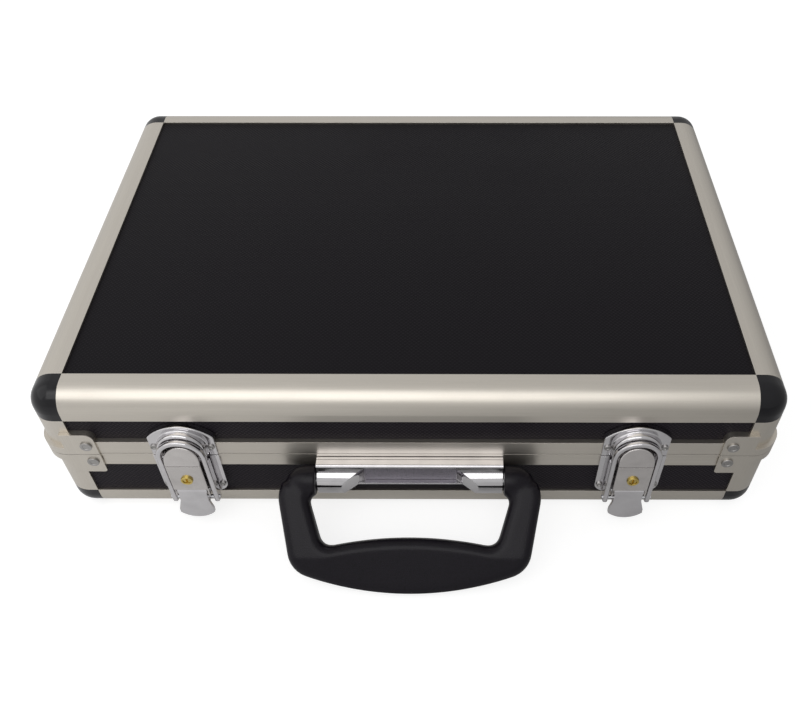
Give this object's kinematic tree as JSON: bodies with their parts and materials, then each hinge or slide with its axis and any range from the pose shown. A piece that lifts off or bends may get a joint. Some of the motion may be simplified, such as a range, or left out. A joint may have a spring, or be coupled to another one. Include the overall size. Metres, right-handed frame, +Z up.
{
  "type": "flight case",
  "caption": "Small aluminium-framed flight case with black panels, ball corners, key-locking draw latches, rear hinges and a folding carrying handle.",
  "frame": {"origin": "centre of the whole footprint, handle included, on the surface the case lies on", "axes": "+X along the case's width to its right as the latches face the viewer, +Y from the latches to the hinges, +Z up"},
  "size_m": [0.3458, 0.294, 0.084],
  "materials": {
    "aluminium": "satin anodised, pale champagne",
    "rivets": "satin",
    "panel": "plywood under a black embossed laminate",
    "ball_corner": "glossy black",
    "chrome": "polished",
    "plated_steel": "plated",
    "brass": "turned",
    "handle": "fine leather grain",
    "lining": "thin black felt"
  },
  "bodies": {
    "base": {"base_bottom_panel": "panel", "base_front_panel": "panel", "base_rear_panel": "panel", "base_left_panel": "panel", "base_right_panel": "panel", "base_front_edge": "aluminium", "base_rear_edge": "aluminium", "base_left_edge": "aluminium", "base_right_edge": "aluminium", "base_front_rail": "aluminium", "base_rear_rail": "aluminium", "base_left_rail": "aluminium", "base_right_rail": "aluminium", "base_corner_posts": "aluminium", "base_ball_corners": "ball_corner", "base_rail_corners": "aluminium", "base_rivets": "rivets", "base_small_rivets": "rivets", "base_lining": "lining", "hinge_base_leaves": "plated_steel", "hinge_pins": "plated_steel", "handle_bracket": "chrome", "handle_pins": "plated_steel", "latch_plate_left": "chrome", "lock_cover_left": "chrome", "lever_pin_left": "plated_steel", "latch_plate_right": "chrome", "lock_cover_right": "chrome", "lever_pin_right": "plated_steel"},
    "lid": {"lid_top_panel": "panel", "lid_front_panel": "panel", "lid_rear_panel": "panel", "lid_left_panel": "panel", "lid_right_panel": "panel", "lid_front_edge": "aluminium", "lid_rear_edge": "aluminium", "lid_left_edge": "aluminium", "lid_right_edge": "aluminium", "lid_front_rail": "aluminium", "lid_rear_rail": "aluminium", "lid_left_rail": "aluminium", "lid_right_rail": "aluminium", "lid_corner_posts": "aluminium", "lid_ball_corners": "ball_corner", "lid_rail_corners": "aluminium", "lid_rivets": "rivets", "lid_small_rivets": "rivets", "lid_lining": "lining", "hinge_lid_leaves": "plated_steel", "keeper_left": "chrome", "keeper_right": "chrome"},
    "handle": {"handle": "handle"},
    "lever_left": {"lever_left": "chrome", "claw_pin_left": "plated_steel"},
    "claw_left": {"claw_left": "chrome"},
    "key_left": {"key_cylinder_left": "brass"},
    "lever_right": {"lever_right": "chrome", "claw_pin_right": "plated_steel"},
    "claw_right": {"claw_right": "chrome"},
    "key_right": {"key_cylinder_right": "brass"}
  },
  "joints": [
    {"name": "lid_hinge", "type": "hinge", "parent": "base", "child": "lid", "pos_m": [0, 0.14462, 0.0468], "axis": [-1, 0, 0], "range_deg": [0, 95]},
    {"name": "handle_pivot", "type": "hinge", "parent": "base", "child": "handle", "pos_m": [0, -0.10378, 0.035], "axis": [-1, 0, 0], "range_deg": [-45, 125]},
    {"name": "latch_lever_left", "type": "hinge", "parent": "base", "child": "lever_left", "pos_m": [-0.104, -0.10278, 0.0265], "axis": [-1, 0, 0], "range_deg": [0, 85]},
    {"name": "latch_claw_left", "type": "hinge", "parent": "lever_left", "child": "claw_left", "pos_m": [-0.104, -0.10228, 0.0196], "axis": [-1, 0, 0], "range_deg": [-102, 0]},
    {"name": "key_turn_left", "type": "hinge", "parent": "base", "child": "key_left", "pos_m": [-0.104, -0.10528, 0.0374], "axis": [0, -1, 0], "range_deg": [0, 90]},
    {"name": "latch_lever_right", "type": "hinge", "parent": "base", "child": "lever_right", "pos_m": [0.104, -0.10278, 0.0265], "axis": [-1, 0, 0], "range_deg": [0, 85]},
    {"name": "latch_claw_right", "type": "hinge", "parent": "lever_right", "child": "claw_right", "pos_m": [0.104, -0.10228, 0.0196], "axis": [-1, 0, 0], "range_deg": [-102, 0]},
    {"name": "key_turn_right", "type": "hinge", "parent": "base", "child": "key_right", "pos_m": [0.104, -0.10528, 0.0374], "axis": [0, -1, 0], "range_deg": [0, 90]}
  ],
  "couplings": [
    {"joint": "latch_claw_left", "follows": "latch_lever_left", "ratio": -1.2},
    {"joint": "latch_claw_right", "follows": "latch_lever_right", "ratio": -1.2}
  ]
}
